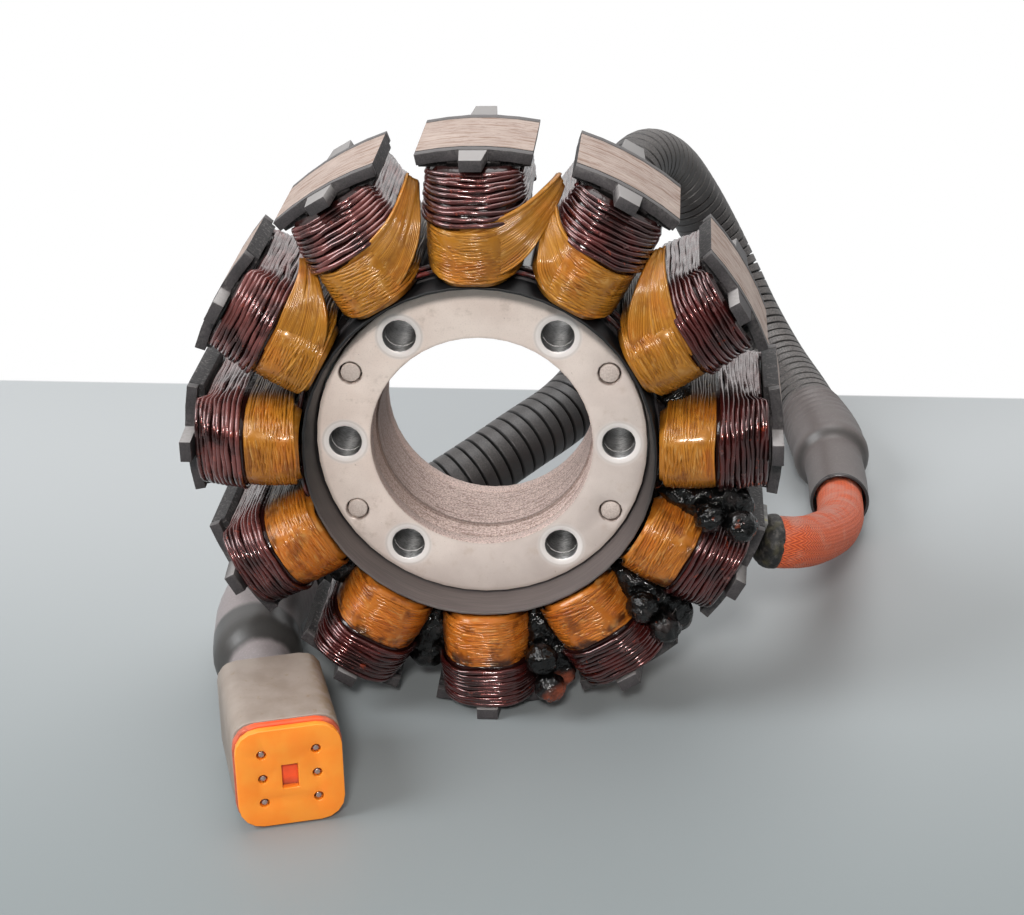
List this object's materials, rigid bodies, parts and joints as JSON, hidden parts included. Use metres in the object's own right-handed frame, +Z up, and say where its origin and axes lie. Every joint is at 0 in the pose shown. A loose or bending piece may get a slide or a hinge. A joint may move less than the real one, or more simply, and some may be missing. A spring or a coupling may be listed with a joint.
{
  "type": "alternator stator",
  "caption": "Wound ring stator with outward poles, a bolt-up hub with a bore, and an output lead in corrugated tube that ends in a rectangular connector.",
  "frame": {"origin": "middle of the bottom pole's face, in the mid-plane of the laminated core: the stator stands there, and its axis runs along Y one pole-face radius above", "axes": "+Z up from the bottom pole to the top pole; -Y out of the stator's front, the side with the lead joints and the bolts' bright seats; +X to the right as seen from the front, where the lead leaves"},
  "size_m": [0.1433, 0.2256, 0.1172],
  "materials": {
    "lamination_steel": "varnished electrical steel, fine streaks round the pole faces",
    "hub_steel": "satin ground ring with bright bolt seats",
    "rivet_steel": "dull rivet ends",
    "black_moulding": "black moulded insulator, dusty on its edges",
    "red_enamel_wire": "dark red enamelled wire under varnish",
    "amber_strands": "amber fine wire under glossy varnish",
    "black_epoxy": "glossy crinkled epoxy",
    "clamp_grey": "stained grey",
    "orange_sleeve": "woven glass sleeve with oil specks",
    "shrink_boot": "warm grey heat-shrink, matt",
    "conduit_black": "black corrugated tube",
    "housing_grey": "warm grey moulding with brown stains",
    "seal_red": "red-orange silicone",
    "wedge_orange": "bright orange moulding",
    "contact_metal": "plated contacts"
  },
  "bodies": {
    "root": {"conduit": "conduit_black", "connector_boot": "shrink_boot", "connector_contact_1": "contact_metal", "connector_contact_2": "contact_metal", "connector_contact_3": "contact_metal", "connector_contact_4": "contact_metal", "connector_contact_5": "contact_metal", "connector_contact_6": "contact_metal", "connector_housing": "housing_grey", "connector_seal": "seal_red", "connector_wedge": "wedge_orange", "core_stack": "lamination_steel", "front_end_ring": "hub_steel", "front_insulator": "black_moulding", "harness_clamp": "clamp_grey", "heat_sleeve": "orange_sleeve", "lead_splice_1": "black_epoxy", "lead_splice_2": "black_epoxy", "lead_splice_3": "black_epoxy", "lead_splice_4": "black_epoxy", "lead_splice_5": "black_epoxy", "lead_splice_6": "black_epoxy", "main_coil_01": "red_enamel_wire", "main_coil_02": "red_enamel_wire", "main_coil_03": "red_enamel_wire", "main_coil_04": "red_enamel_wire", "main_coil_05": "red_enamel_wire", "main_coil_06": "red_enamel_wire", "main_coil_07": "red_enamel_wire", "main_coil_08": "red_enamel_wire", "main_coil_09": "red_enamel_wire", "main_coil_10": "red_enamel_wire", "main_coil_11": "red_enamel_wire", "main_coil_12": "red_enamel_wire", "rear_end_ring": "hub_steel", "rear_insulator": "black_moulding", "rivet_1": "rivet_steel", "rivet_2": "rivet_steel", "rivet_3": "rivet_steel", "rivet_4": "rivet_steel", "sleeve_boot": "shrink_boot", "strand_band_01": "amber_strands", "strand_band_02": "amber_strands", "strand_band_03": "amber_strands", "strand_band_04": "amber_strands", "strand_band_05": "amber_strands", "strand_band_06": "amber_strands", "strand_band_07": "amber_strands", "strand_band_08": "amber_strands", "strand_band_09": "amber_strands", "strand_band_10": "amber_strands", "strand_band_11": "amber_strands", "strand_band_12": "amber_strands"}
  },
  "joints": []
}
